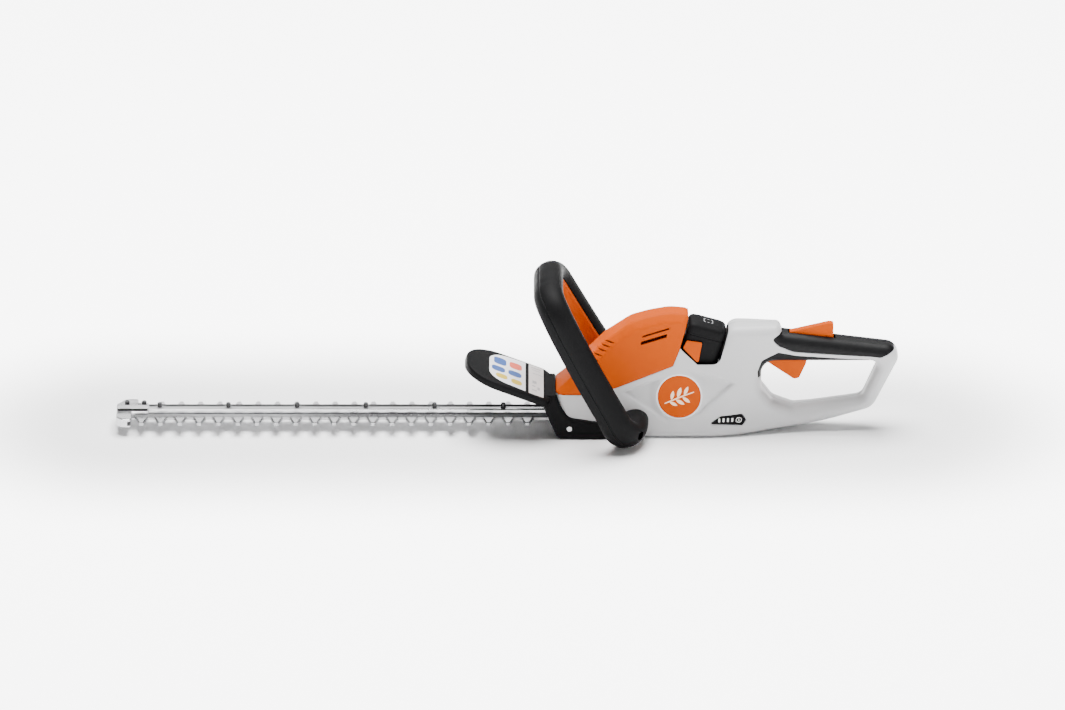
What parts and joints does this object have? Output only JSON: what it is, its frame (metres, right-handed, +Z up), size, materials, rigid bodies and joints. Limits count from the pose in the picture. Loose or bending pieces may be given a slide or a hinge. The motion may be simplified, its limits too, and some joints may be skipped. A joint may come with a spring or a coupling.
{
  "type": "cordless hedge trimmer",
  "caption": "Cordless hedge trimmer: double-sided reciprocating blade with guide bar, hand guard, bow front handle with switch bar, rear handle with trigger, and plug-in battery.",
  "frame": {"origin": "centre of the flat underside of the housing", "axes": "+X to the rear handle along the blade line, +Z up from the surface it stands on, +Y to the tool's right side"},
  "size_m": [0.8913, 0.1878, 0.1894],
  "materials": {
    "white_plastic": "fine moulded texture, satin",
    "orange_plastic": "satin moulded plastic",
    "black_plastic": "fine spark-eroded texture",
    "soft_grip": "soft overmoulded elastomer, matt",
    "steel": "ground and nickel-plated steel",
    "cast_aluminium": "die cast",
    "light_window": "clear diffusing plastic",
    "circuit_board": "solder mask"
  },
  "bodies": {
    "tool": {"badge_left": "orange_plastic", "badge_right": "orange_plastic", "bar_bolt_1": "steel", "bar_bolt_2": "steel", "bar_bolt_3": "steel", "bar_bolt_4": "steel", "bar_bolt_5": "steel", "bar_bolt_6": "steel", "bow_front_shell": "black_plastic", "bow_rear_shell": "black_plastic", "bow_screw_left": "steel", "bow_screw_right": "steel", "bow_switch": "black_plastic", "charge_light_1": "light_window", "charge_light_2": "light_window", "charge_light_3": "light_window", "charge_light_4": "light_window", "control_board": "circuit_board", "gearcase_base": "cast_aluminium", "gearcase_cover": "cast_aluminium", "grip_left": "soft_grip", "grip_right": "soft_grip", "guard_screw_left": "steel", "guard_screw_right": "steel", "guide_bar": "steel", "hand_guard": "black_plastic", "handle_liner": "soft_grip", "housing_left": "white_plastic", "housing_right": "white_plastic", "housing_screw_1": "steel", "housing_screw_2": "steel", "housing_screw_3": "steel", "housing_screw_4": "steel", "housing_screw_5": "steel", "indicator_panel": "black_plastic", "lockout_pin": "steel", "motor_can": "steel", "motor_hood": "orange_plastic", "terminal_block": "black_plastic", "tip_bolt_1": "steel", "tip_bolt_2": "steel", "tip_guard": "steel", "trigger_pin": "steel", "trigger_switch": "black_plastic"},
    "upper_blade": {"upper_blade": "steel"},
    "lower_blade": {"lower_blade": "steel"},
    "crank": {"crank_gear": "steel"},
    "rotor": {"motor_rotor": "steel"},
    "battery": {"battery": "black_plastic"},
    "latch_left": {"latch_left": "orange_plastic"},
    "latch_right": {"latch_right": "orange_plastic"},
    "trigger": {"trigger": "orange_plastic"},
    "lockout": {"lockout_lever": "orange_plastic"},
    "switch_bar": {"switch_bar": "orange_plastic"},
    "indicator_button": {"indicator_button": "black_plastic"}
  },
  "joints": [
    {"name": "upper_blade_slide", "type": "slide", "parent": "tool", "child": "upper_blade", "axis": [1, 0, 0], "range_m": [-0.0055, 0.0055]},
    {"name": "lower_blade_slide", "type": "slide", "parent": "tool", "child": "lower_blade", "axis": [1, 0, 0], "range_m": [-0.0055, 0.0055]},
    {"name": "crank_spin", "type": "hinge", "parent": "tool", "child": "crank", "pos_m": [-0.065, 0, 0.02], "axis": [0, 0, 1], "continuous": true},
    {"name": "rotor_spin", "type": "hinge", "parent": "tool", "child": "rotor", "pos_m": [-0.03, 0, 0.02], "axis": [0, 0, 1], "continuous": true},
    {"name": "battery_slide", "type": "slide", "parent": "tool", "child": "battery", "axis": [0.2672, 0, 0.9636], "range_m": [0, 0.095]},
    {"name": "latch_left_press", "type": "slide", "parent": "tool", "child": "latch_left", "axis": [0, 0.9882, -0.1532], "range_m": [0, 0.0012], "stiffness_N_per_m": 300, "springref_m": -0.002},
    {"name": "latch_right_press", "type": "slide", "parent": "tool", "child": "latch_right", "axis": [0, -0.9882, -0.1532], "range_m": [0, 0.0012], "stiffness_N_per_m": 300, "springref_m": -0.002},
    {"name": "trigger_pull", "type": "hinge", "parent": "tool", "child": "trigger", "pos_m": [0.137, 0, 0.097], "axis": [0, -1, 0], "range_deg": [0, 12], "stiffness_Nm_per_rad": 0.15, "springref_deg": -11.46},
    {"name": "lockout_press", "type": "hinge", "parent": "tool", "child": "lockout", "pos_m": [0.164, 0, 0.105], "axis": [0, 1, 0], "range_deg": [0, 9], "stiffness_Nm_per_rad": 0.12, "springref_deg": -11.46},
    {"name": "switch_bar_squeeze", "type": "slide", "parent": "tool", "child": "switch_bar", "axis": [-0.4695, 0, 0.8829], "range_m": [0, 0.003], "stiffness_N_per_m": 500, "springref_m": -0.002},
    {"name": "indicator_button_press", "type": "slide", "parent": "tool", "child": "indicator_button", "axis": [0, 0.9882, -0.1532], "range_m": [0, 0.001], "stiffness_N_per_m": 200, "springref_m": -0.001}
  ],
  "couplings": [
    {"joint": "lower_blade_slide", "follows": "upper_blade_slide", "ratio": -1},
    {"joint": "rotor_spin", "follows": "crank_spin", "ratio": -6}
  ]
}
